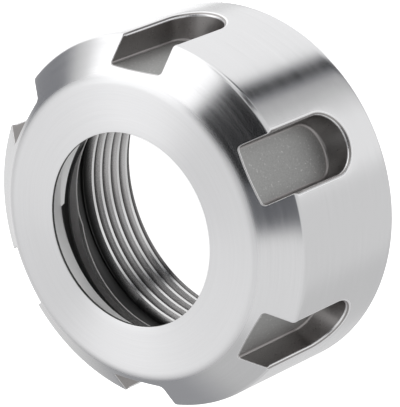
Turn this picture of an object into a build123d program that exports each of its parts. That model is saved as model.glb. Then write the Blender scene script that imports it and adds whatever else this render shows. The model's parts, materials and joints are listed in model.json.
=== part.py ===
"""Clamping nut for a spring collet: a round steel nut with a coned nose and six spanner slots.

Millimetres. The nut stands on its threaded rear face at z = 0 with its axis along +Z and its nose up.
The first spanner slot lies on +X.
"""

from build123d import *
from math import cos, radians, sin, tan
import os

# Outside
nut_diameter = 42.0
nut_length = 20.0
nose_height = 3.6  # how far the coned nose reaches down from the front face
nose_slope = 40.0  # degrees between the nose cone and the front face
nose_round = 1.6
shoulder_round = 0.8
rear_round = 0.8

# Opening in the nose, where the collet comes through
nose_bore_diameter = 21.8
nose_bore_length = 0.35
seat_angle = 30.0  # degrees between the collet seat and the axis
seat_end_diameter = 26.2
seat_run_out = 0.2

# Groove for the head of the collet, bored off centre so that one side of the lip below it catches
head_groove_diameter = 26.1
head_groove_width = 2.5
head_groove_wall = 0.94  # straight part of the width, at the lip
head_groove_slope = 47.0  # degrees between the groove's upper flank and a level plane
head_groove_offset = 2.1
head_groove_direction = 207.0  # degrees about the axis, from the first slot
lip_width = 0.8
lip_chamfer = 0.2
lip_step_diameter = 24.6
lip_step_depth = 0.45
lip_step_direction = 225.0

# Thread that screws on the spindle, drawn at its crests
thread_diameter = 32.0
thread_pitch = 1.5
thread_depth = 0.5413 * thread_pitch  # of an inside thread with a 60 degree profile
thread_lead_in = 1.0
relief_length = 4.0
relief_taper = 0.3  # how far up the relief's slope reaches from the thread
relief_clearance = 0.2  # how far the relief lies outside the thread's roots

# Spanner slots, open towards the nose and round at the other end
slot_count = 6
slot_width = 6.8
slot_end_height = 5.3  # from the rear face to the round end
slot_floor_wall = 1.6  # metal left between a slot's floor and the relief
slot_floor_round = 0.3
slot_edge_break = 0.45

# Worked out from the values above
nut_radius = nut_diameter / 2
nose_corner_radius = nut_radius - nose_height / tan(radians(nose_slope))
shoulder_height = nut_length - nose_height
nose_bore_radius = nose_bore_diameter / 2
seat_end_radius = seat_end_diameter / 2
seat_start_height = nut_length - nose_bore_length
seat_end_height = seat_start_height - (seat_end_radius - nose_bore_radius) / tan(radians(seat_angle))
head_groove_top = seat_end_height - seat_run_out
head_groove_bottom = head_groove_top - head_groove_width
lip_bottom = head_groove_bottom - lip_width
thread_radius = thread_diameter / 2
thread_crest_radius = thread_radius - thread_depth
relief_radius = thread_radius + relief_clearance
thread_top = lip_bottom - relief_length
head_groove_flank = head_groove_width - head_groove_wall
head_groove_mouth = head_groove_diameter / 2 - head_groove_flank / tan(radians(head_groove_slope))
slot_floor_radius = relief_radius + slot_floor_wall
slot_radius = slot_width / 2
slot_round_height = slot_end_height + slot_radius


def off_centre(direction, height):
    """The middle of an off-centre cut that starts at this height."""
    turn = radians(direction)
    return (head_groove_offset * cos(turn), head_groove_offset * sin(turn), height)


# One slot's waste, standing on +X
with BuildPart() as slot_waste:
    with BuildSketch(Plane.YZ.offset(slot_floor_radius)):
        with Locations((0, slot_round_height)):
            Circle(slot_radius)
            Rectangle(slot_width, nut_length, align=(Align.CENTER, Align.MIN))
    extrude(amount=nut_radius)
    floor_edges = slot_waste.faces().sort_by(Axis.X)[0].edges()
    fillet(floor_edges.sort_by(Axis.Z)[:-1], slot_floor_round)

with BuildPart() as nut_body:
    # The section stands between two slots, so the seam of the revolved faces crosses none of them
    with BuildSketch(Plane.XZ.rotated((0, 0, 180 / slot_count))):
        with BuildLine():
            Polyline(
                (nose_bore_radius, nut_length),
                (nose_corner_radius, nut_length),
                (nut_radius, shoulder_height),
                (nut_radius, 0),
                (thread_crest_radius + thread_lead_in, 0),
                (thread_crest_radius, thread_lead_in),
                (thread_crest_radius, thread_top),
                (relief_radius, thread_top + relief_taper),
                (relief_radius, lip_bottom),
                (seat_end_radius + lip_chamfer, lip_bottom),
                (seat_end_radius, lip_bottom + lip_chamfer),
                (seat_end_radius, seat_end_height),
                (nose_bore_radius, seat_start_height),
                close=True,
            )
        section = make_face()
        corners = section.vertices()
        fillet(corners.sort_by_distance((nose_corner_radius, nut_length))[0], nose_round)
        fillet(corners.sort_by_distance((nut_radius, shoulder_height))[0], shoulder_round)
        fillet(corners.sort_by_distance((nut_radius, 0))[0], rear_round)
    revolve(axis=Axis.Z)

    # The groove behind the seat, and the step in the lip
    upward = (Align.CENTER, Align.CENTER, Align.MIN)
    with Locations(off_centre(head_groove_direction, head_groove_bottom)):
        Cylinder(head_groove_diameter / 2, head_groove_wall, align=upward, mode=Mode.SUBTRACT)
    with Locations(off_centre(head_groove_direction, head_groove_bottom + head_groove_wall)):
        Cone(head_groove_diameter / 2, head_groove_mouth, head_groove_flank, align=upward, mode=Mode.SUBTRACT)
    with Locations(off_centre(lip_step_direction, head_groove_bottom - lip_step_depth)):
        Cylinder(lip_step_diameter / 2, lip_step_depth, align=upward, mode=Mode.SUBTRACT)

    with PolarLocations(0, slot_count):
        add(slot_waste.part, mode=Mode.SUBTRACT)
    barrel = nut_body.faces().sort_by(SortBy.AREA)[-1]
    slot_rims = nut_body.edges(Select.LAST) & barrel.edges()
    chamfer(slot_rims.filter_by(GeomType.CIRCLE, reverse=True), slot_edge_break)

nut_body.part.label = "nut_body"

os.makedirs("parts", exist_ok=True)
export_step(nut_body.part, "parts/nut_body.step")
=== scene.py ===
"""Turned steel clamping nut for a spring collet, standing on its threaded face with its nose up.

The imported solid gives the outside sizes. The finished mesh adds the helical thread, the rounded edges
and the turned, milled and bored finishes.
"""

import json
from math import atan2, cos, hypot, pi, radians, sin, sqrt, tan

import bmesh
import bpy
from bpy.props import FloatProperty, FloatVectorProperty, IntProperty, PointerProperty
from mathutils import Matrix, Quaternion, Vector


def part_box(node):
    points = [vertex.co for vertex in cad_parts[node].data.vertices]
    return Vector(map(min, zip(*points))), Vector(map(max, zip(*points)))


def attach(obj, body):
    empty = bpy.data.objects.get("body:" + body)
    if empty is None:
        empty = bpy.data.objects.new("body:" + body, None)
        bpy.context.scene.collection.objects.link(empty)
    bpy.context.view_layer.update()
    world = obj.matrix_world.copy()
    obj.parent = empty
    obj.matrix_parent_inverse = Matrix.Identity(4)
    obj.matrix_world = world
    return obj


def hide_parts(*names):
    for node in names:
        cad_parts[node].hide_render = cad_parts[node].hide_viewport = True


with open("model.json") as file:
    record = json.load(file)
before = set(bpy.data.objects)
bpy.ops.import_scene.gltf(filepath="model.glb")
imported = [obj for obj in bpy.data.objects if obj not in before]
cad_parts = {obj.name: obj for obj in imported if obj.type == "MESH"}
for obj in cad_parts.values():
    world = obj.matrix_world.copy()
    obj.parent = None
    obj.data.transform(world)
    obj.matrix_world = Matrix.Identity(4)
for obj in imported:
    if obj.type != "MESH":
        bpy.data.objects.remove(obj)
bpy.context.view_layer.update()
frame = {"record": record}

bl_info = {
    "name": "Collet nut",
    "version": (1, 0, 0),
    "blender": (4, 5, 0),
    "location": "View3D > Sidebar > Collet nut",
    "description": "Builds a slotted clamping nut with its thread, collet seat and steel finishes",
    "category": "Add Mesh",
}

MM = 0.001
NODE = "nut_body"
BODY = "root"
NUT_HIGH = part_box(NODE)[1]
MOUNTS = {mount["name"]: mount for mount in frame["record"]["mounts"]}

# Divisions of the mesh. A column is one degree wide, and a slot's sector has 30 on each side of its middle.
COLUMNS = 360
COLUMN_ANGLE = 2 * pi / COLUMNS
FACE_STEPS = 5
ROUND_STEPS = 8
CONE_BEND_STEPS = 3
FLOOR_COLUMNS = 12
FLOOR_ROUND_STEPS = 5
WALL_STEPS = 5
BARREL_STEPS = 6
END_SIDE_STEPS = 9
END_LOW_STEPS = 15
END_STEPS = END_SIDE_STEPS + END_LOW_STEPS
RIM_LAYERS = 3
RIM_ROUND_STEPS = 4
RIM_SIDE_STEPS = 3
REAR_STEPS = 4
SEAT_STEPS = 8
BORE_STEPS = 3
SHORT_BORE_STEPS = 2
# Places on a slot's rim. The floor's corner is at FLOOR_COLUMNS.
WALL_TOP = FLOOR_COLUMNS + FLOOR_ROUND_STEPS
SHOULDER = WALL_TOP + WALL_STEPS
ROUND_END = SHOULDER + ROUND_STEPS + BARREL_STEPS
# Strips of the thread's mesh from one turn to the next, and the one that is the crest
THREAD_STRIPS = 8
CREST_STRIP = 7
SHARP_ANGLE = radians(29)
WELD_DISTANCE = 0.0002 * MM

# Part of a broken edge, from side to side, that stays flat
BREAK_FLAT = (0.25, 0.75)
# Slope at which the painted-shade part of the off-centre cut dies out
CUT_FADE_SLOPE = 2

# The nut's steels: what each is the finish of, its colour, its roughness and its tool marks
STEELS = {
    "turned_steel": ("turned outside", (0.80, 0.80, 0.81), 0.18, {"marks": 0.14, "anisotropy": 0.5}),
    "milled_floor": (
        "slots' floors", (0.42, 0.42, 0.415), 0.5, {"contrast": 0.14, "grain": 0.3, "specks": 0.4}),
    "milled_wall": ("slots' walls", (0.37, 0.355, 0.35), 0.32, {"contrast": 0.07, "grain": 0.12}),
    "broken_edge": ("slots' broken edges", (0.92, 0.92, 0.93), 0.3, {"contrast": 0.03, "grain": 0.05}),
    "bored_steel": ("opening and the seat", (0.78, 0.78, 0.78), 0.34, {"marks": 0.25, "anisotropy": 0.4}),
    # The groove steel's near-black colour is painted shade on the opening's land, the groove, the upper
    # wall of the off-centre cut and the relief.
    "grooved_steel": ("groove and the relief", (0.08, 0.08, 0.08), 0.45, {"marks": 0.2, "anisotropy": 0.2}),
    "lip_steel": ("lip behind the groove", (0.8, 0.79, 0.79), 0.85, {"contrast": 0.05, "grain": 0.1}),
    # The flanks' colour is darker than the crests' as painted shade on the flanks.
    "threaded_steel": ("thread's flanks", (0.7, 0.69, 0.69), 0.2, {"marks": 0.15, "anisotropy": 0.3}),
    "crest_steel": ("thread's crests", (0.78, 0.78, 0.78), 0.2, {"marks": 0.1, "anisotropy": 0.3}),
}
TURNED, FLOOR, WALL, EDGE, BORED, GROOVE_SHADE, LIP, THREADED, CREST = range(len(STEELS))
OUTSIDE_STEELS = tuple(STEELS)[:EDGE + 1]
FINISH_MARKS = "finish"
# Finishes of the parts of the bored inside, from the opening down; the near-black groove steel among them
# is painted shade
INSIDE_FINISHES = (BORED, GROOVE_SHADE, BORED, GROOVE_SHADE, LIP, GROOVE_SHADE, LIP, GROOVE_SHADE)

SHADER = "Principled BSDF"
SOFT = "SMOOTHSTEP"
WHITE = (1, 1, 1, 1)
# Distances from a flat end where its faced finish begins and where it is full
FACED_FADE = 0.6 * MM
FACED_FULL = 0.075 * MM
# Share of the thread's depth, at its crests and at its roots, that the painted root shade leaves evenly
# bright
EVEN_DEPTH = 0.2
# Values between which most of a noise lies
NOISE_RANGE = (0.3, 0.7)
# Tool marks: scale and drift round the axis of the fine and the broad ones, and what they do
FINE_MARKS = (5200.0, 0.02)
BROAD_MARKS = (700.0, 0.05)
MARK_NOISE = {"Detail": 3.0, "Roughness": 0.6}
MARK_CONTRAST = 0.12
MARK_GLOSS = (0.85, 1.2)
MARK_DEPTH = {"Distance": 0.01 * MM}
MARK_TURN = 0.25
# Grain of the milled surfaces, and their bright specks, which are painted glints
GRAIN_NOISE = {"Scale": 6500.0, "Detail": 3.0}
GRAIN_GLOSS = (-0.05, 0.07)
GRAIN_DEPTH = {"Distance": 0.02 * MM}
GLINT_NOISE = {"Scale": 3800.0, "Detail": 1.0}
GLINT_RANGE = (0.66, 0.72)

FILM_WIDTH = 36
CAMERA_REACH = (0.01, 10)


def settings_of(kind, scale=None, **units):
    """A function that makes settings of one kind. Their values are in units of scale, if there is one."""

    def setting(name, description, default):
        value = default if scale is None else default * scale
        return kind(name=name, description=description, default=value, **units)

    return setting


a_length = settings_of(FloatProperty, MM, min=0, precision=5, subtype="DISTANCE", unit="LENGTH")
an_angle = settings_of(FloatProperty, radians(1), subtype="ANGLE", unit="ROTATION")
a_share = settings_of(FloatProperty, min=0, max=1)
a_point = settings_of(FloatVectorProperty, subtype="XYZ", unit="LENGTH")
a_colour = settings_of(FloatVectorProperty, subtype="COLOR", min=0, max=1)


class OutsideSizes(bpy.types.PropertyGroup):
    """Sizes of the turned outside of the nut."""

    radius: a_length("Radius", "Outside radius of the barrel", NUT_HIGH.x / MM)
    length: a_length("Length", "From the rear face to the nose face", NUT_HIGH.z / MM)
    nose_height: a_length("Nose height", "How far the nose cone reaches down", 3.6)
    nose_slope: an_angle("Nose slope", "Angle between the cone and the nose face", 40)
    nose_round: a_length("Nose rounding", "Rounding between the face and the cone", 1.6)
    shoulder_round: a_length("Shoulder rounding", "Rounding between the cone and the barrel", 0.8)
    rear_round: a_length("Rear rounding", "Rounding between the barrel and the rear face", 0.8)


class SlotSizes(bpy.types.PropertyGroup):
    """Sizes of the spanner slots round the barrel."""

    count: IntProperty(name="Slots", description="Number of spanner slots", default=6, min=3, max=6)
    half_width: a_length("Half width", "Half of a slot's width", 3.4)
    end_height: a_length("End height", "From the rear face to a slot's round end", 5.3)
    floor_radius: a_length("Floor radius", "From the axis to a slot's floor", 17.8)
    floor_round: a_length("Floor rounding", "Rounding between a slot's walls and floor", 0.35)
    edge_break: a_length("Edge break", "Width of a slot's broken edge on the barrel", 0.45)
    front_break: a_length("Front break", "Width of a slot's edge on the cone", 0.09)
    break_softening: a_share("Edge softening", "How much of an edge break is rounded", 0.3)
    end_lean: a_length("End lean", "How far the round end's foot leans to the nose", 0.4)
    end_block: a_length("End block", "Height where the mesh round a slot's end stops", 3.3)


class BoreSizes(bpy.types.PropertyGroup):
    """Sizes of the opening, the collet seat, the head groove and its lip."""

    opening_radius: a_length(
        "Opening radius", "Radius of the opening", MOUNTS["nose_bore"]["dims"]["r_mm"])
    opening_break: a_length("Opening edge", "Rounded edge of the opening", 0.06)
    land: a_length("Land", "Straight length of the opening", 0.35)
    seat_angle: an_angle("Seat angle", "Angle between the collet seat and the axis", 30)
    seat_end_radius: a_length("Seat end radius", "Radius where the collet seat ends", 13.1)
    seat_run_out: a_length("Seat run-out", "Straight length below the seat", 0.2)
    groove_radius: a_length("Groove radius", "Radius of the groove", 13.05)
    groove_width: a_length("Groove width", "Width of the groove", 2.5)
    groove_offset: a_length("Groove offset", "How far the groove and the cut lie off centre", 2.1)
    groove_direction: an_angle("Groove direction", "Way that the groove is off centre", 207)
    groove_wall: a_length("Groove wall", "Straight outer wall of the groove", 0.94)
    groove_slope: an_angle("Groove slope", "Slope of the upper flank from level", 47)
    groove_break: a_length("Groove edges", "Broken edges of the groove", 0.12)
    groove_cut: an_angle("Groove cut", "Half the arc that cuts into the seat", 52.5)
    step_radius: a_length("Step radius", "Radius of the off-centre cut through the lip", 12.3)
    step_direction: an_angle("Step direction", "Way that the cut is off centre", 225)
    step_depth: a_length("Step depth", "Dark upper part of the cut", 0.45)
    lip_width: a_length("Lip width", "Thickness of the lip", 0.8)
    lip_land: a_length("Lip land", "Lighter inner edge of the lip", 0.18)
    relief_length: a_length("Relief length", "From the lip to the full thread", 4.0)
    relief_taper: a_length("Relief taper", "How far up the relief's slope reaches", 0.3)


class ThreadSizes(bpy.types.PropertyGroup):
    """Sizes of the inside thread."""

    root_radius: a_length("Root radius", "Radius of the thread's roots", 16.0)
    crest_radius: a_length(
        "Crest radius", "Radius of the thread's crests", MOUNTS["spindle_thread"]["dims"]["r_mm"])
    pitch: a_length("Pitch", "Distance from crest to crest", 1.5)
    first_crest: a_length("First crest", "Height of a crest's middle over the first slot", 1.05)
    lead_in: a_length("Lead-in", "Length of the chamfer at the rear face", 1.0)
    clearance: a_length("Relief clearance", "How far the relief lies outside the roots", 0.2)


class Finishes(bpy.types.PropertyGroup):
    """Colours and gloss of the nut's surfaces."""

    faced_roughness: a_share("Faced roughness", "Roughness of the nose face and the rear face", 0.36)
    faced_grain: a_share("Faced grain", "Blur of light across the faces' tool marks", 0.9)
    # The roots' darkness is painted shade in the thread's hollows.
    root_shade: a_share("Root shade", "Brightness of the thread's roots against its flanks", 0.22)


for key, (part, colour, roughness, _) in STEELS.items():
    name = key.replace("_", " ").capitalize()
    Finishes.__annotations__.update({
        f"{key}_colour": a_colour(f"{name} colour", f"Colour of the {part}", colour),
        f"{key}_roughness": a_share(f"{name} roughness", f"Roughness of the {part}", roughness),
    })


class StudioSettings(bpy.types.PropertyGroup):
    """Camera, floor and light of the studio."""

    camera_place: a_point("Camera place", "Where the camera stands", (0.26249, -0.00328, 0.30428))
    camera_aim: a_point("Camera aim", "The middle of the picture", (0.00114, -0.00032, 0.00899))
    camera_roll: an_angle("Camera roll", "Turn of the camera about its line of sight", -112.93)
    focal_length: FloatProperty(
        name="Focal length", description="For a film 36 mm along its long side", default=316.7, min=1)
    floor_size: a_length("Floor size", "Width of the pale floor", 6000)
    floor_colour: a_colour("Floor colour", "Colour of the pale floor", (0.9, 0.9, 0.9))
    floor_glow: a_share("Floor glow", "How much the floor is lit from below", 0.96)


class ColletNutSettings(bpy.types.PropertyGroup):
    """Everything that a user can change."""

    outside: PointerProperty(type=OutsideSizes)
    slots: PointerProperty(type=SlotSizes)
    bore: PointerProperty(type=BoreSizes)
    thread: PointerProperty(type=ThreadSizes)
    finishes: PointerProperty(type=Finishes)
    studio: PointerProperty(type=StudioSettings)


def shares(steps, first=0):
    """The shares of the way at each of these even steps."""
    return [step / steps for step in range(first, steps + 1)]


def between(start, end, share):
    """What lies this share of the way from start to end."""
    if isinstance(start, tuple):
        return tuple(between(a, b, share) for a, b in zip(start, end))
    return start + (end - start) * share


def turned_point(radius, angle, height):
    """The point at this radius and angle about the nut's axis."""
    return Vector((radius * cos(angle), radius * sin(angle), height))


def angle_of(point):
    """The angle of a point about the nut's axis."""
    return atan2(point.y, point.x)


def line_to(rows, end, steps):
    """Adds evenly spaced rows (radius, height) from the last one to end."""
    start = rows[-1]
    rows.extend(between(start, end, share) for share in shares(steps, 1))


def arc_to(rows, centre, radius, start, end, steps=ROUND_STEPS):
    """Adds rows along an arc, and its first one if there are none. Angles begin at the way outwards."""
    for share in shares(steps, 1 if rows else 0):
        turn = between(start, end, share)
        rows.append((centre[0] + radius * cos(turn), centre[1] + radius * sin(turn)))


def edge_round(start, corner, end, steps):
    """Points of a rounded edge, from one surface at start to the other at end."""
    return [
        between(between(start, corner, share), between(corner, end, share), share)
        for share in shares(steps)
    ]


def broken_edge(start, corner, end, softening):
    """Points of a flat edge break with rounded sides."""
    side, other_side = between(start, corner, softening), between(end, corner, softening)
    flat_start, flat_end = (between(side, other_side, share) for share in BREAK_FLAT)
    return [
        *edge_round(start, side, flat_start, RIM_SIDE_STEPS),
        *edge_round(flat_end, other_side, end, RIM_SIDE_STEPS),
    ]


def add_patch(bm, rows, finish):
    """Quads between each row of points and the next."""
    lines = [[bm.verts.new(point) for point in row] for row in rows]
    for line, following in zip(lines, lines[1:]):
        for corners in zip(line, line[1:], following[1:], following):
            bm.faces.new(corners).material_index = finish


def add_pair(bm, rows, finish):
    """A patch and its mirror image on the other side of the slot's middle plane."""
    add_patch(bm, rows, finish)
    add_patch(bm, [[Vector((x, -y, z)) for x, y, z in row] for row in rows], finish)


def cone_height(outside, radius):
    """Height of the nose cone at this distance from the axis."""
    drop = (outside.radius - radius) * tan(outside.nose_slope)
    return outside.length - outside.nose_height + drop


def nose_rows(outside, inner_radius):
    """Rows from the opening's edge over the nose face to the start of the cone."""
    slope = outside.nose_slope
    corner_radius = outside.radius - outside.nose_height / tan(slope)
    flat_radius = corner_radius - outside.nose_round * tan(slope / 2)
    rows = [(inner_radius, outside.length)]
    line_to(rows, (flat_radius, outside.length), FACE_STEPS)
    centre = (flat_radius, outside.length - outside.nose_round)
    arc_to(rows, centre, outside.nose_round, pi / 2, pi / 2 - slope)
    return rows


def shoulder_rows(outside):
    """Rows round the shoulder, from the end of the cone to the start of the barrel."""
    turn = pi / 2 - outside.nose_slope
    reach = outside.shoulder_round * tan(turn / 2)
    centre = (outside.radius - outside.shoulder_round, outside.length - outside.nose_height - reach)
    rows = []
    arc_to(rows, centre, outside.shoulder_round, turn, 0)
    return rows


def end_turn(step):
    """Angle of a point on a slot's round end, from its +Y side over its lowest point."""
    if step > END_STEPS:
        return pi - end_turn(2 * END_STEPS - step)
    if step <= END_SIDE_STEPS:
        return pi / 4 * step / END_SIDE_STEPS
    return pi / 4 * (1 + (step - END_SIDE_STEPS) / END_LOW_STEPS)


class SlotShape:
    """One spanner slot on +X, as points along its rim from the floor's front edge to its lowest point.

    The rim's points come in threes: on the turned outside, at the sharp corner, and inside the slot.
    """

    def __init__(self, outside, slots):
        self.outside = outside
        self.slots = slots
        self.half_sector = COLUMNS // slots.count // 2
        self.centre_height = slots.end_height + slots.half_width
        self.flat_half = slots.half_width - slots.floor_round
        self.wall_start = slots.floor_radius + slots.floor_round
        self.rim = []
        self.add_front_edge()
        self.add_side_edge()
        self.add_end_edge()
        self.outer, _, self.inner = zip(*self.rim)

    def on_cone(self, x, y):
        """The point of the nose cone above this place."""
        return Vector((x, y, cone_height(self.outside, hypot(x, y))))

    def add_front_edge(self):
        """The rim points where the cone cuts the floor, and then the rounding at its side."""
        edge_break = self.slots.front_break
        drop = Vector((0, 0, edge_break / cos(self.outside.nose_slope)))
        places = [(self.flat_half * share, 0) for share in shares(FLOOR_COLUMNS)]
        places += [(self.flat_half, pi / 2 * share) for share in shares(FLOOR_ROUND_STEPS, 1)]
        for start, turn in places:
            x = self.wall_start - self.slots.floor_round * cos(turn)
            y = start + self.slots.floor_round * sin(turn)
            corner = self.on_cone(x, y)
            outer = self.on_cone(x - edge_break * cos(turn), y + edge_break * sin(turn))
            self.rim.append((outer, corner, corner - drop))

    def add_wall_edge(self, row, normal, edge_break):
        """A rim point where a wall meets the turned outside at this row, which faces the way of normal."""
        radius, height = row
        y = self.slots.half_width
        outer = Vector((sqrt(radius ** 2 - (y + edge_break) ** 2), y + edge_break, height))
        corner = Vector((sqrt(radius ** 2 - y ** 2), y, height))
        inner = corner - Vector((normal[0] * edge_break, 0, normal[1] * edge_break))
        self.rim.append((outer, corner, inner))

    def add_side_edge(self):
        """The rim points beside the slot, on the cone, round the shoulder and down the barrel."""
        outside, slope = self.outside, self.outside.nose_slope
        front_break, edge_break = self.slots.front_break, self.slots.edge_break
        rows = shoulder_rows(outside)
        start_radius = hypot(self.wall_start, self.slots.half_width + front_break)
        for share in shares(WALL_STEPS, 1):
            radius = between(start_radius, rows[0][0], share)
            lean = sin(slope) * share
            normal = (lean, (1 - lean * sin(slope)) / cos(slope))
            self.add_wall_edge((radius, cone_height(outside, radius)), normal, front_break)
        for share, row in zip(shares(ROUND_STEPS, 1), rows[1:]):
            lean = (pi / 2 - slope) * (1 - share)
            self.add_wall_edge(row, (cos(lean), sin(lean)), between(front_break, edge_break, share))
        line_to(rows, (outside.radius, self.centre_height), BARREL_STEPS)
        for row in rows[ROUND_STEPS + 1:]:
            self.add_wall_edge(row, (1, 0), edge_break)

    def end_point(self, reach, step, depth):
        """A point this far from the round end's middle, and this deep below the barrel or at x = -depth."""
        lean = self.slots.end_lean if depth < 0 else 0
        y = reach * cos(end_turn(step))
        z = self.centre_height - (reach - lean) * sin(end_turn(step))
        x = -depth if depth < 0 else sqrt(self.outside.radius ** 2 - y ** 2) - depth
        return Vector((x, y, z))

    def add_end_edge(self):
        half_width, edge_break = self.slots.half_width, self.slots.edge_break
        for step in range(1, END_STEPS + 1):
            outer = self.end_point(half_width + edge_break, step, 0)
            corner = self.end_point(half_width, step, 0)
            inner = self.end_point(half_width, step, edge_break)
            self.rim.append((outer, corner, inner))


def add_slot_rim(bm, slot):
    """The broken edge all round the slot."""
    lines = list(zip(*(broken_edge(*points, slot.slots.break_softening) for points in slot.rim)))
    add_pair(bm, lines[:RIM_SIDE_STEPS + 1], EDGE)
    add_pair(bm, lines[RIM_SIDE_STEPS:RIM_SIDE_STEPS + 2], WALL)
    add_pair(bm, lines[RIM_SIDE_STEPS + 1:], EDGE)


def add_slot_walls(bm, slot):
    """The slot's walls, the rounding at their foot, its floor and its round end."""
    half_width, edge_break = slot.slots.half_width, slot.slots.edge_break
    line = slot.inner[SHOULDER:ROUND_END + 1]
    top = line[0].z
    drops = [(top - point.z) / (top - slot.centre_height) for point in line]

    def side_rows(tops, feet=None):
        """Rows from these tops down to these feet, or straight down to the middle of the round end."""
        feet = feet or [Vector((point.x, point.y, slot.centre_height)) for point in tops]
        return [[between(a, b, drop) for a, b in zip(tops, feet)] for drop in drops]

    wall_feet = [
        Vector((between(slot.wall_start, line[-1].x, share), half_width, slot.centre_height))
        for share in shares(WALL_STEPS)
    ]
    rows = side_rows(slot.inner[WALL_TOP:SHOULDER + 1], wall_feet)
    for row, point in zip(rows, line):
        row[-1] = point
    add_pair(bm, rows, WALL)
    round_tops = slot.inner[FLOOR_COLUMNS:WALL_TOP + 1]
    add_pair(bm, side_rows(round_tops), WALL)
    add_pair(bm, side_rows(slot.inner[:FLOOR_COLUMNS + 1]), FLOOR)

    end_rows = []
    for step in range(END_STEPS + 1):
        edge = slot.end_point(half_width, step, edge_break)
        foot = slot.end_point(half_width, step, -slot.wall_start)
        foot_round = [slot.end_point(point.y, step, -point.x) for point in round_tops]
        end_rows.append(foot_round + [between(foot, edge, share) for share in shares(WALL_STEPS, 1)])
    add_pair(bm, end_rows, WALL)


def add_floor_end(bm, slot):
    """The half-round end of the slot's floor, as a bent grid."""

    def on_edge(step):
        return slot.end_point(slot.flat_half, step, -slot.slots.floor_radius)

    last = 2 * END_STEPS
    low_left = last - FLOOR_COLUMNS
    rows = []
    for depth, v in enumerate(shares(FLOOR_COLUMNS)):
        row = []
        for column, u in enumerate(shares(2 * FLOOR_COLUMNS)):
            top = between(on_edge(last), on_edge(0), u)
            low = between(on_edge(low_left), on_edge(FLOOR_COLUMNS), u)
            along = between(top, on_edge(low_left - column), v)
            across = between(on_edge(last - depth), on_edge(depth), u)
            row.append(along + across - between(top, low, v))
        rows.append(row)
    add_patch(bm, rows, FLOOR)


def even_rows(slot, profile):
    """Evenly spaced points all across the sector, for each row of a profile."""
    columns = range(-slot.half_sector, slot.half_sector + 1)
    return [
        [turned_point(radius, column * COLUMN_ANGLE, height) for column in columns]
        for radius, height in profile
    ]


def beside(slot, rim_point):
    """Angles of the columns from a rim point to the sector's edge, by column."""
    start, end = angle_of(rim_point), slot.half_sector * COLUMN_ANGLE
    ways = shares(slot.half_sector - FLOOR_COLUMNS)
    return {FLOOR_COLUMNS + step: between(start, end, share) for step, share in enumerate(ways)}


def add_nose(bm, slot, inner_radius):
    """The nose face, its rounding, and the rows that bend towards the floor's front edge."""
    profile = nose_rows(slot.outside, inner_radius)
    rows = even_rows(slot, profile)
    corner_angles = beside(slot, slot.outer[FLOOR_COLUMNS])
    for share in shares(CONE_BEND_STEPS, 1):
        row = []
        for column in range(-slot.half_sector, slot.half_sector + 1):
            place = abs(column)
            rim_point = slot.outer[min(place, FLOOR_COLUMNS)]
            radius = between(profile[-1][0], hypot(rim_point.x, rim_point.y), share)
            angle = corner_angles.get(place, angle_of(rim_point))
            angle = between(place * COLUMN_ANGLE, angle, share) * (1 if column > 0 else -1)
            row.append(turned_point(radius, angle, cone_height(slot.outside, radius)))
        rows.append(row)
    add_patch(bm, rows, TURNED)


def add_slot_sides(bm, slot):
    """The cone, shoulder and barrel beside the slot."""
    rows = []
    for rim_point in slot.outer[FLOOR_COLUMNS:ROUND_END + 1]:
        radius = hypot(rim_point.x, rim_point.y)
        angles = beside(slot, rim_point).values()
        rows.append([turned_point(radius, angle, rim_point.z) for angle in angles])
    add_pair(bm, rows, TURNED)


def add_end_block(bm, slot):
    """The barrel beside the slot's round end, and the block of mesh that goes round that end."""
    radius, foot = slot.outside.radius, slot.slots.end_block
    first = FLOOR_COLUMNS + RIM_LAYERS
    angles = beside(slot, slot.outer[ROUND_END])
    rows = []
    for share in shares(END_SIDE_STEPS):
        height = between(slot.centre_height, foot, share)
        rows.append([
            turned_point(radius, between(angles[column], column * COLUMN_ANGLE, share), height)
            for column in range(first, slot.half_sector + 1)
        ])
    add_pair(bm, rows, TURNED)

    block_edge = [(angle_of(row[0]), row[0].z) for row in rows]
    block_edge += [(column * COLUMN_ANGLE, foot) for column in range(first - 1, -1, -1)]
    layers = []
    for share in shares(RIM_LAYERS):
        places = [
            between((angle_of(rim_point), rim_point.z), place, share)
            for rim_point, place in zip(slot.outer[ROUND_END:], block_edge)
        ]
        layers.append([turned_point(radius, angle, height) for angle, height in places])
    add_pair(bm, layers, TURNED)


def add_rear(bm, slot, inner_radius):
    """The rear of the barrel, its rounding and the rear face."""
    radius, rounding = slot.outside.radius, slot.outside.rear_round
    profile = [(radius, slot.slots.end_block)]
    line_to(profile, (radius, rounding), REAR_STEPS)
    arc_to(profile, (radius - rounding, rounding), rounding, 0, -pi / 2)
    line_to(profile, (inner_radius, 0), REAR_STEPS)
    add_patch(bm, even_rows(slot, profile), TURNED)


def sector_mesh(settings):
    """One sector of the nut's outside, with a slot in its middle."""
    bore, thread = settings.bore, settings.thread
    slot = SlotShape(settings.outside, settings.slots)
    bm = bmesh.new()
    add_nose(bm, slot, bore.opening_radius + bore.opening_break)
    add_slot_sides(bm, slot)
    add_end_block(bm, slot)
    add_rear(bm, slot, thread.crest_radius + thread.lead_in)
    add_slot_rim(bm, slot)
    add_slot_walls(bm, slot)
    add_floor_end(bm, slot)
    bmesh.ops.remove_doubles(bm, verts=bm.verts, dist=WELD_DISTANCE)
    mesh = bpy.data.meshes.new("slot_sector")
    bm.to_mesh(mesh)
    bm.free()
    marks = mesh.attributes.new(FINISH_MARKS, "INT", "FACE")
    for polygon, mark in zip(mesh.polygons, marks.data):
        mark.value = polygon.material_index
    return mesh


def set_inputs(tree, node, inputs):
    """Sets a node's inputs, or links them to sockets or to the first output of other nodes."""
    for name, value in inputs.items():
        if isinstance(value, bpy.types.Node):
            value = value.outputs[0]
        if isinstance(value, bpy.types.NodeSocket):
            tree.links.new(value, node.inputs[name])
        else:
            node.inputs[name].default_value = value


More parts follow.
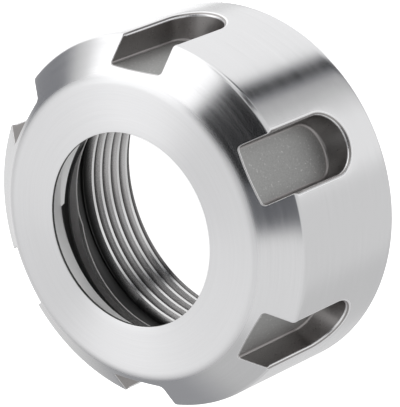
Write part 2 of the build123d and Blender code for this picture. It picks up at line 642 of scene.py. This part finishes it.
def add_node(tree, kind, inputs=None, **settings):
    """A new node with its settings and its inputs."""
    node = tree.nodes.new(kind)
    for name, value in settings.items():
        setattr(node, name, value)
    set_inputs(tree, node, inputs or {})
    return node


def maths(tree, operation, *values):
    """A sum on numbers."""
    return add_node(tree, "ShaderNodeMath", dict(enumerate(values)), operation=operation)


def vector_maths(tree, operation, output, *values):
    """This output of a sum on vectors."""
    node = add_node(tree, "ShaderNodeVectorMath", dict(enumerate(values)), operation=operation)
    return node.outputs[output]


def scaled(tree, vector, share):
    """A vector or colour times a number."""
    return add_node(tree, "ShaderNodeVectorMath", {0: vector, "Scale": share}, operation="SCALE")


def map_range(tree, value, start, end, low=0.0, high=1.0, **settings):
    """A number that goes from low to high as value goes from start to end."""
    return add_node(tree, "ShaderNodeMapRange", {
        "Value": value, "From Min": start, "From Max": end, "To Min": low, "To Max": high,
    }, **settings)


def mixed(tree, share, first, second, **settings):
    """A number this share of the way from the first to the second."""
    return add_node(tree, "ShaderNodeMix", {0: share, 2: first, 3: second}, **settings)


def axes(tree, coordinates):
    """The x, y and z of a point in these coordinates."""
    place = add_node(tree, "ShaderNodeTexCoord").outputs[coordinates]
    return add_node(tree, "ShaderNodeSeparateXYZ", {0: place}).outputs


def level(tree, x, y):
    """The level vector of x and y."""
    return add_node(tree, "ShaderNodeCombineXYZ", {"X": x, "Y": y})


def ring_tree():
    """A node tree that repeats a sector round the axis, welds the copies and gives them their steels."""
    tree = bpy.data.node_groups.new("Ring of slots", "GeometryNodeTree")
    tree.is_modifier = True
    kinds = {"Sector": "Geometry", "Slots": "Int", "Weld distance": "Float"}
    kinds.update((steel, "Material") for steel in OUTSIDE_STEELS)
    sockets = {}
    for name, kind in kinds.items():
        socket = tree.interface.new_socket(name, in_out="INPUT", socket_type=f"NodeSocket{kind}")
        sockets[name] = socket.identifier
    tree.interface.new_socket("Ring", in_out="OUTPUT", socket_type="NodeSocketGeometry")
    given = tree.nodes.new("NodeGroupInput").outputs
    turn = maths(tree, "DIVIDE", 2 * pi, given["Slots"])
    angle = maths(tree, "MULTIPLY", add_node(tree, "GeometryNodeInputIndex"), turn)
    euler = add_node(tree, "ShaderNodeCombineXYZ", {"Z": angle})
    rotation = add_node(tree, "FunctionNodeEulerToRotation", {0: euler})
    points = add_node(tree, "GeometryNodePoints", {"Count": given["Slots"]})
    copies = add_node(tree, "GeometryNodeInstanceOnPoints", {
        "Points": points, "Instance": given["Sector"], "Rotation": rotation,
    })
    real = add_node(tree, "GeometryNodeRealizeInstances", {"Geometry": copies})
    ring = add_node(tree, "GeometryNodeMergeByDistance", {0: real, "Distance": given["Weld distance"]})
    marks = add_node(tree, "GeometryNodeInputNamedAttribute", {"Name": FINISH_MARKS}, data_type="INT")
    for place, steel in enumerate(OUTSIDE_STEELS):
        here = add_node(
            tree, "FunctionNodeCompare", {2: marks, 3: place}, data_type="INT", operation="EQUAL")
        ring = add_node(
            tree, "GeometryNodeSetMaterial", {0: ring, "Selection": here, "Material": given[steel]})
    add_node(tree, "NodeGroupOutput", {0: ring})
    return tree, sockets


def plain_mesh(piece):
    """The piece's mesh with its modifiers in it."""
    depsgraph = bpy.context.evaluated_depsgraph_get()
    return bpy.data.meshes.new_from_object(
        piece.evaluated_get(depsgraph), preserve_all_data_layers=True, depsgraph=depsgraph)


def ring_mesh(settings, finishes):
    """The nut's outside with all its slots, made from one sector."""
    sector = sector_mesh(settings)
    carrier = bpy.data.objects.new("slot_sector", sector)
    bpy.context.scene.collection.objects.link(carrier)
    modifier = carrier.modifiers.new("Ring of slots", "NODES")
    modifier.node_group, sockets = ring_tree()
    modifier[sockets["Slots"]] = settings.slots.count
    modifier[sockets["Weld distance"]] = WELD_DISTANCE
    for steel, finish in zip(OUTSIDE_STEELS, finishes):
        modifier[sockets[steel]] = finish
    carrier.update_tag()
    bpy.context.view_layer.update()
    ring = plain_mesh(carrier)
    bpy.data.objects.remove(carrier)
    bpy.data.meshes.remove(sector)
    places = [finishes.index(finish) if finish else TURNED for finish in ring.materials]
    for polygon in ring.polygons:
        polygon.material_index = places[polygon.material_index]
    return ring


class BoreSection:
    """The outline of the bored inside, from the opening down to the relief's taper."""

    def __init__(self, outside, bore, thread):
        self.bore = bore
        radius, face, small = bore.opening_radius, outside.length, bore.opening_break
        self.opening = edge_round(
            (radius + small, face), (radius, face), (radius, face - small), RIM_ROUND_STEPS)
        self.seat_start = face - bore.land
        self.seat_end = self.seat_start - (bore.seat_end_radius - radius) / tan(bore.seat_angle)
        self.groove_top = self.seat_end - bore.seat_run_out
        self.groove_bottom = self.groove_top - bore.groove_width
        self.lip_bottom = self.groove_bottom - bore.lip_width
        self.taper_top = self.lip_bottom - bore.relief_length + bore.relief_taper
        self.relief_radius = thread.root_radius + thread.clearance

    def cut_reach(self, radius, direction, angle):
        """Distance from the axis to the wall of an off-centre cut, and no less than the throat."""
        turn = angle - direction
        across = self.bore.groove_offset * sin(turn)
        reach = self.bore.groove_offset * cos(turn) + sqrt(radius ** 2 - across ** 2)
        return max(self.bore.seat_end_radius, reach)

    def parts(self, angle):
        """Rows (radius, height) at one angle, in parts that match the inside finishes."""
        bore, bottom = self.bore, self.groove_bottom
        throat, small = bore.seat_end_radius, bore.groove_break
        groove = self.cut_reach(bore.groove_radius, bore.groove_direction, angle)
        wall_top = bottom + bore.groove_wall
        flank_top = min(self.groove_top, wall_top + (groove - throat) * tan(bore.groove_slope))
        if cos(angle - bore.groove_direction) > cos(bore.groove_cut):
            flank_top = self.seat_end
        flank_start = max(throat, groove - (flank_top - wall_top) / tan(bore.groove_slope))
        shelf = max(throat, groove - small)
        step = min(shelf, self.cut_reach(bore.step_radius, bore.step_direction, angle))
        depth = min(bore.step_depth, CUT_FADE_SLOPE * (step - throat))
        lip_end = step + bore.lip_width - depth - bore.lip_land
        relief_start = self.relief_radius - small

        parts = [self.opening]
        for ends in (
            [(bore.opening_radius, self.seat_start, SHORT_BORE_STEPS)],
            [(throat, self.seat_end, SEAT_STEPS), (throat, flank_top, BORE_STEPS)],
            [(flank_start, flank_top, 1), (groove, wall_top, BORE_STEPS),
             (groove, bottom + small, BORE_STEPS), (shelf, bottom, 1)],
            [(step, bottom, BORE_STEPS)],
            [(step, bottom - depth, SHORT_BORE_STEPS)],
            [(step, bottom - depth - bore.lip_land, 1)],
            [(lip_end, self.lip_bottom, 1), (relief_start, self.lip_bottom, BORE_STEPS)],
        ):
            rows = [parts[-1][-1]]
            for radius, height, steps in ends:
                line_to(rows, (radius, height), steps)
            parts.append(rows)
        arc_to(rows, (relief_start, self.lip_bottom - small), small, pi / 2, 0, BORE_STEPS)
        line_to(rows, (self.relief_radius, self.taper_top), BORE_STEPS)
        return parts


class ThreadSection:
    """The thread's outline, which climbs with the angle, trimmed by the lead-in and the relief's taper."""

    def __init__(self, thread, bored):
        crest, root = thread.crest_radius, thread.root_radius
        self.relief, self.taper_top = bored.relief_radius, bored.taper_top
        self.taper_slope = (self.relief - crest) / bored.bore.relief_taper
        self.bottom = crest + thread.lead_in
        self.pitch = thread.pitch
        crest_flat, root_flat = thread.pitch / 4, thread.pitch / 8
        flank_end = crest_flat + (thread.pitch - crest_flat - root_flat) / 2
        self.corners = ((0, crest), (crest_flat, crest), (flank_end, root), (flank_end + root_flat, root))
        self.start = thread.first_crest - crest_flat / 2
        # The turns reach past both ends of the thread, where they are trimmed to nothing
        self.turns = range(-int(thread.first_crest / self.pitch) - 3, int(self.taper_top / self.pitch) + 2)

    def trim(self, height):
        """Radius that the lead-in or the taper has cut away at this height."""
        return max(self.bottom - height, self.relief + (height - self.taper_top) * self.taper_slope)

    def cut(self, point, neighbour):
        """A point or, if it is cut away, where its edge to the neighbour is cut, or else the cut's wall."""
        depth = point[0] - self.trim(point[1])
        if depth >= 0:
            return point
        other = neighbour[0] - self.trim(neighbour[1])
        if other > 0:
            return between(point, neighbour, depth / (depth - other))
        height = min(max(point[1], 0), self.taper_top)
        return (self.trim(height), height)

    def rows(self, angle):
        """Rows (radius, height) at one angle, from below. Each corner of the outline has two."""
        climb = self.start + self.pitch * angle / (2 * pi)
        corners = [
            (radius, climb + self.pitch * turn + height)
            for turn in self.turns
            for height, radius in self.corners
        ]
        rows = []
        for before, here, after in zip(corners, corners[1:], corners[2:]):
            rows += [self.cut(here, before), self.cut(here, after)]
        return rows


def add_inside(bm, settings):
    """The bored inside and the helical thread, which climbs one pitch from the first column to the last."""
    bored = BoreSection(settings.outside, settings.bore, settings.thread)
    threaded = ThreadSection(settings.thread, bored)
    bored_columns, thread_columns = [[] for _ in INSIDE_FINISHES], []
    for column in range(COLUMNS + 1):
        angle = column * COLUMN_ANGLE
        all_rows = (*bored.parts(angle), threaded.rows(angle))
        for columns, rows in zip((*bored_columns, thread_columns), all_rows):
            columns.append([turned_point(radius, angle, height) for radius, height in rows])
    for columns, finish in zip(bored_columns, INSIDE_FINISHES):
        add_patch(bm, columns, finish)
    for strip in range(len(thread_columns[0]) - 1):
        finish = CREST if strip % THREAD_STRIPS == CREST_STRIP else THREADED
        add_patch(bm, [column[strip:strip + 2] for column in thread_columns], finish)


def nut_mesh(settings, finishes):
    """The whole nut as one closed mesh."""
    ring = ring_mesh(settings, finishes)
    bm = bmesh.new()
    bm.from_mesh(ring)
    bpy.data.meshes.remove(ring)
    add_inside(bm, settings)
    bmesh.ops.remove_doubles(bm, verts=bm.verts, dist=WELD_DISTANCE)
    bmesh.ops.recalc_face_normals(bm, faces=bm.faces)
    for face in bm.faces:
        face.smooth = True
    for edge in bm.edges:
        if not edge.is_manifold:
            raise RuntimeError(f"the nut's mesh is open at {tuple(edge.verts[0].co)}")
        edge.smooth = edge.calc_face_angle() < SHARP_ANGLE
    mesh = bpy.data.meshes.new("collet_nut")
    bm.to_mesh(mesh)
    bm.free()
    for finish in finishes:
        mesh.materials.append(finish)
    return mesh


def profile_pattern(tree, scale, drift):
    """A noise like tool marks, which changes along the profile and hardly round the axis."""
    x, y, z = axes(tree, "Object")
    radius = vector_maths(tree, "LENGTH", "Value", level(tree, x, y))
    profile = add_node(tree, "ShaderNodeCombineXYZ", {
        "X": maths(tree, "SUBTRACT", radius, z),
        "Y": maths(tree, "MULTIPLY", x, drift),
        "Z": maths(tree, "MULTIPLY", y, drift),
    })
    return add_node(tree, "ShaderNodeTexNoise", {"Vector": profile, "Scale": scale, **MARK_NOISE})


def spread(tree, noise, low, high):
    """A noise stretched to run from low to high."""
    return map_range(tree, noise, *NOISE_RANGE, low, high)


def round_way(tree):
    """The direction round the nut's axis at each point."""
    x, y, _ = axes(tree, "Object")
    return vector_maths(tree, "NORMALIZE", "Vector", level(tree, maths(tree, "MULTIPLY", y, -1.0), x))


def new_metal(name, colour, roughness):
    """A material with a metal shader, its tree and the shader node."""
    material = bpy.data.materials.new(name)
    material.use_nodes = True
    material.diffuse_color = (*colour, 1)
    tree = material.node_tree
    shader = tree.nodes[SHADER]
    set_inputs(tree, shader, {"Metallic": 1.0, "Base Color": (*colour, 1), "Roughness": roughness})
    return material, tree, shader


def turned_steel(name, colour, roughness, marks, anisotropy):
    """Bright steel with fine marks of the turning tool round the axis."""
    material, tree, shader = new_metal(name, colour, roughness)
    fine = profile_pattern(tree, *FINE_MARKS)
    broad = profile_pattern(tree, *BROAD_MARKS)
    contrast = marks * MARK_CONTRAST
    set_inputs(tree, shader, {
        "Base Color": scaled(tree, colour, spread(tree, fine, 1 - contrast, 1 + contrast)),
        "Roughness": spread(tree, broad, *(roughness * gloss for gloss in MARK_GLOSS)),
        "Normal": add_node(tree, "ShaderNodeBump", {"Height": fine, "Strength": marks, **MARK_DEPTH}),
        "Anisotropic": anisotropy,
        "Anisotropic Rotation": MARK_TURN,
        "Tangent": round_way(tree),
    })
    return material


def face_ends(material, outside, finishes):
    """Gives the nut's two flat ends a blur that fades out over their edges."""
    tree = material.node_tree
    shader = tree.nodes[SHADER]
    middle = outside.length / 2
    height = axes(tree, "Object")[2]
    off_middle = maths(tree, "ABSOLUTE", maths(tree, "SUBTRACT", height, middle))
    share = map_range(tree, off_middle, middle - FACED_FADE, middle - FACED_FULL, interpolation_type=SOFT)
    turned_roughness = shader.inputs["Roughness"].links[0].from_socket
    turned_grain = shader.inputs["Anisotropic"].default_value
    set_inputs(tree, shader, {
        "Roughness": mixed(tree, share, turned_roughness, finishes.faced_roughness),
        "Anisotropic": mixed(tree, share, turned_grain, finishes.faced_grain),
    })


def paint_root_shade(material, thread, shade):
    """Paints shade on the thread's flanks, darker towards their roots."""
    tree = material.node_tree
    shader = tree.nodes[SHADER]
    x, y, _ = axes(tree, "Object")
    radius = vector_maths(tree, "LENGTH", "Value", level(tree, x, y))
    even = (thread.root_radius - thread.crest_radius) * EVEN_DEPTH
    # Painted shade: the colour darkens from the crests towards the roots.
    share = map_range(tree, radius, thread.crest_radius + even, thread.root_radius - even, 1.0, shade)
    bright = shader.inputs["Base Color"].links[0].from_socket
    set_inputs(tree, shader, {"Base Color": scaled(tree, bright, share)})


def milled_steel(name, colour, roughness, contrast, grain, specks=0.0):
    """Dull grey steel with a fine grain and painted glints as bright specks."""
    material, tree, shader = new_metal(name, colour, roughness)
    place = add_node(tree, "ShaderNodeTexCoord").outputs["Object"]
    fine = add_node(tree, "ShaderNodeTexNoise", {"Vector": place, **GRAIN_NOISE})
    glint_spots = add_node(tree, "ShaderNodeTexNoise", {"Vector": place, **GLINT_NOISE})
    grey = spread(tree, fine, 1 - contrast, 1 + contrast)
    # Painted glints: bright specks added to the colour.
    bright = map_range(tree, glint_spots, *GLINT_RANGE, 0.0, specks)
    set_inputs(tree, shader, {
        "Base Color": scaled(tree, colour, maths(tree, "ADD", grey, bright)),
        "Roughness": spread(tree, fine, *(roughness + gloss for gloss in GRAIN_GLOSS)),
        "Normal": add_node(tree, "ShaderNodeBump", {"Height": fine, "Strength": grain, **GRAIN_DEPTH}),
    })
    return material


def make_finishes(settings):
    """The nut's materials, in the order of its steels."""
    finishes = settings.finishes
    made = []
    for key, (_, _, _, look) in STEELS.items():
        colour, roughness = tuple(getattr(finishes, f"{key}_colour")), getattr(finishes, f"{key}_roughness")
        make = turned_steel if "marks" in look else milled_steel
        made.append(make(key, colour, roughness, **look))
    face_ends(made[TURNED], settings.outside, finishes)
    paint_root_shade(made[THREADED], settings.thread, finishes.root_shade)
    return made


class MESH_OT_collet_nut(bpy.types.Operator):
    """Build the nut from its sizes and finishes"""

    bl_idname = "mesh.collet_nut"
    bl_label = "Build nut"
    bl_options = {"REGISTER", "UNDO"}

    def execute(self, context):
        settings = context.scene.collet_nut
        mesh = nut_mesh(settings, make_finishes(settings))
        nut = bpy.data.objects.new("clamping_nut", mesh)
        context.scene.collection.objects.link(nut)
        normals = nut.modifiers.new("Even shading", "WEIGHTED_NORMAL")
        normals.keep_sharp = True
        shaded = plain_mesh(nut)
        nut.modifiers.remove(normals)
        nut.data = shaded
        bpy.data.meshes.remove(mesh)
        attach(nut, BODY)
        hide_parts(NODE)
        return {"FINISHED"}


# Soft light cards round the nut: name, azimuth, half width, elevation, half height, softness, brightness.
# Angles are in degrees. A later card covers an earlier one.
LIGHT_CARDS = (
    ("low light behind", 166, 23, -60, 14, 7, 1.2),
    ("light behind left", 165, 10, -26, 8, 8, 0.84),
    ("low left light", -105, 15, -49, 20, 20, 0.62),
    ("low right window", 88, 27, -45, 30, 16, 1.0),
    ("low front light", -2, 10, -48, 20, 18, 0.92),
    ("dim edge of low gap", 38, 4, -49, 24, 12, 0.52),
    ("dark low gap", 48, 1, -49, 24, 11, 0.0),
    ("foot of right window", 62, 12, -4, 6, 9, 1.15),
    ("dark level gap", 36, 3, 0, 24, 4, 0.02),
    ("overhead softbox", 180, 45, 52, 16, 14, 0.97),
    ("right window", 92, 26, 20, 24, 9, 1.35),
    ("window behind right", 124, 15, -24, 12, 10, 1.25),
    ("high right window", 104, 18, 52, 8, 8, 1.3),
    ("high window behind right", 140, 9, 54, 7, 12, 1.6),
    ("high left fill", -70, 25, 38, 14, 20, 0.8),
    ("dim left room", -118, 12, 15, 12, 18, 0.56),
    ("dim room behind right", 144, 7, 0, 8, 11, 0.23),
    ("dim room behind left", -150, 8, -5, 14, 22, 0.34),
    ("dim room over camera", -4, 28, 50, 9, 15, 0.12),
    ("dark room behind camera", 26, 27, 50, 10, 7, 0.01),
    ("dark room above right", 60, 18, 68, 8, 7, 0.03),
)
ROOM_BRIGHTNESS = 0.72
# What is dim in the room is a little blue, as far as this brightness
DIM_COLOUR = (0.93, 0.96, 1.08, 1)
DIM_LIMIT = 0.5


def card_mask(tree, way, rise, azimuth, half_width, elevation, half_height, softness):
    """One inside a card and nothing outside it, with soft edges, for a level way and a rise."""
    aim = (cos(radians(azimuth)), sin(radians(azimuth)), 0.0)
    aside = maths(tree, "ARCCOSINE", vector_maths(tree, "DOT_PRODUCT", "Value", way, aim))
    above = maths(tree, "ABSOLUTE", maths(tree, "SUBTRACT", rise, radians(elevation)))
    return maths(tree, "MULTIPLY", *(
        map_range(tree, off, radians(half), radians(half + softness), 1.0, 0.0, interpolation_type=SOFT)
        for off, half in ((aside, half_width), (above, half_height))
    ))


def make_room(scene):
    """A pale room with light cards all round, plain where the camera looks at it."""
    world = bpy.data.worlds.new("studio_room")
    world.use_nodes = True
    scene.world = world
    tree = world.node_tree
    tree.nodes.clear()
    x, y, z = axes(tree, "Generated")
    way = vector_maths(tree, "NORMALIZE", "Vector", level(tree, x, y))
    rise = maths(tree, "ARCSINE", z)
    light = ROOM_BRIGHTNESS
    for name, *card, brightness in LIGHT_CARDS:
        light = mixed(tree, card_mask(tree, way, rise, *card), light, brightness, label=name)
    share = map_range(tree, light, 0.0, DIM_LIMIT)
    tint = add_node(tree, "ShaderNodeMix", {0: share, 6: DIM_COLOUR, 7: WHITE}, data_type="RGBA")
    lit = add_node(tree, "ShaderNodeBackground", {"Color": tint.outputs[2], "Strength": light})
    plain = add_node(tree, "ShaderNodeBackground", {"Color": WHITE})
    camera_ray = add_node(tree, "ShaderNodeLightPath").outputs["Is Camera Ray"]
    chosen = add_node(tree, "ShaderNodeMixShader", {0: camera_ray, 1: lit, 2: plain})
    add_node(tree, "ShaderNodeOutputWorld", {"Surface": chosen})


def make_floor(scene, studio):
    """A plain pale floor, lit from below so that no hard shadow stays on it."""
    half = studio.floor_size / 2
    corners = [(-half, -half, 0), (half, -half, 0), (half, half, 0), (-half, half, 0)]
    mesh = bpy.data.meshes.new("floor")
    mesh.from_pydata(corners, [], [(0, 1, 2, 3)])
    floor = bpy.data.objects.new("floor", mesh)
    scene.collection.objects.link(floor)
    material = bpy.data.materials.new("pale_floor")
    material.use_nodes = True
    tree = material.node_tree
    set_inputs(tree, tree.nodes[SHADER], {
        "Base Color": (*studio.floor_colour, 1), "Roughness": 1.0, "Specular IOR Level": 0.0,
        "Emission Color": WHITE, "Emission Strength": studio.floor_glow,
    })
    mesh.materials.append(material)
    floor.visible_glossy = False


def make_camera(scene, studio):
    """The camera at the photograph's viewing angle."""
    data = bpy.data.cameras.new("camera")
    data.sensor_width = FILM_WIDTH
    data.lens = studio.focal_length
    data.clip_start, data.clip_end = CAMERA_REACH
    camera = bpy.data.objects.new("camera", data)
    scene.collection.objects.link(camera)
    place, aim = Vector(studio.camera_place), Vector(studio.camera_aim)
    upright = (aim - place).to_track_quat("-Z", "Y")
    camera.rotation_mode = "QUATERNION"
    camera.location = place
    camera.rotation_quaternion = upright @ Quaternion((0, 0, 1), studio.camera_roll)
    scene.camera = camera


class SCENE_OT_collet_nut_studio(bpy.types.Operator):
    """Set up the camera, the floor and the soft light"""

    bl_idname = "scene.collet_nut_studio"
    bl_label = "Set up studio"
    bl_options = {"REGISTER", "UNDO"}

    def execute(self, context):
        scene = context.scene
        studio = scene.collet_nut.studio
        make_camera(scene, studio)
        make_floor(scene, studio)
        make_room(scene)
        scene.view_settings.view_transform = "Standard"
        return {"FINISHED"}


class VIEW3D_PT_collet_nut(bpy.types.Panel):
    """Sizes, finishes and studio of the nut"""

    bl_idname = "VIEW3D_PT_collet_nut"
    bl_label = "Collet nut"
    bl_space_type = "VIEW_3D"
    bl_region_type = "UI"
    bl_category = "Collet nut"

    def draw(self, context):
        settings = context.scene.collet_nut
        layout = self.layout
        for name in ColletNutSettings.__annotations__:
            group = getattr(settings, name)
            box = layout.box()
            box.label(text=name.capitalize())
            for key in type(group).__annotations__:
                box.prop(group, key)
        layout.operator(MESH_OT_collet_nut.bl_idname)
        layout.operator(SCENE_OT_collet_nut_studio.bl_idname)


CLASSES = (
    OutsideSizes, SlotSizes, BoreSizes, ThreadSizes, Finishes, StudioSettings, ColletNutSettings,
    MESH_OT_collet_nut, SCENE_OT_collet_nut_studio, VIEW3D_PT_collet_nut,
)


def register():
    for cls in CLASSES:
        bpy.utils.register_class(cls)
    bpy.types.Scene.collet_nut = PointerProperty(type=ColletNutSettings)


def unregister():
    del bpy.types.Scene.collet_nut
    for cls in reversed(CLASSES):
        bpy.utils.unregister_class(cls)


def main():
    """Builds the nut and its studio."""
    register()
    bpy.ops.scene.collet_nut_studio()
    bpy.ops.mesh.collet_nut()


if __name__ == "__main__":
    main()
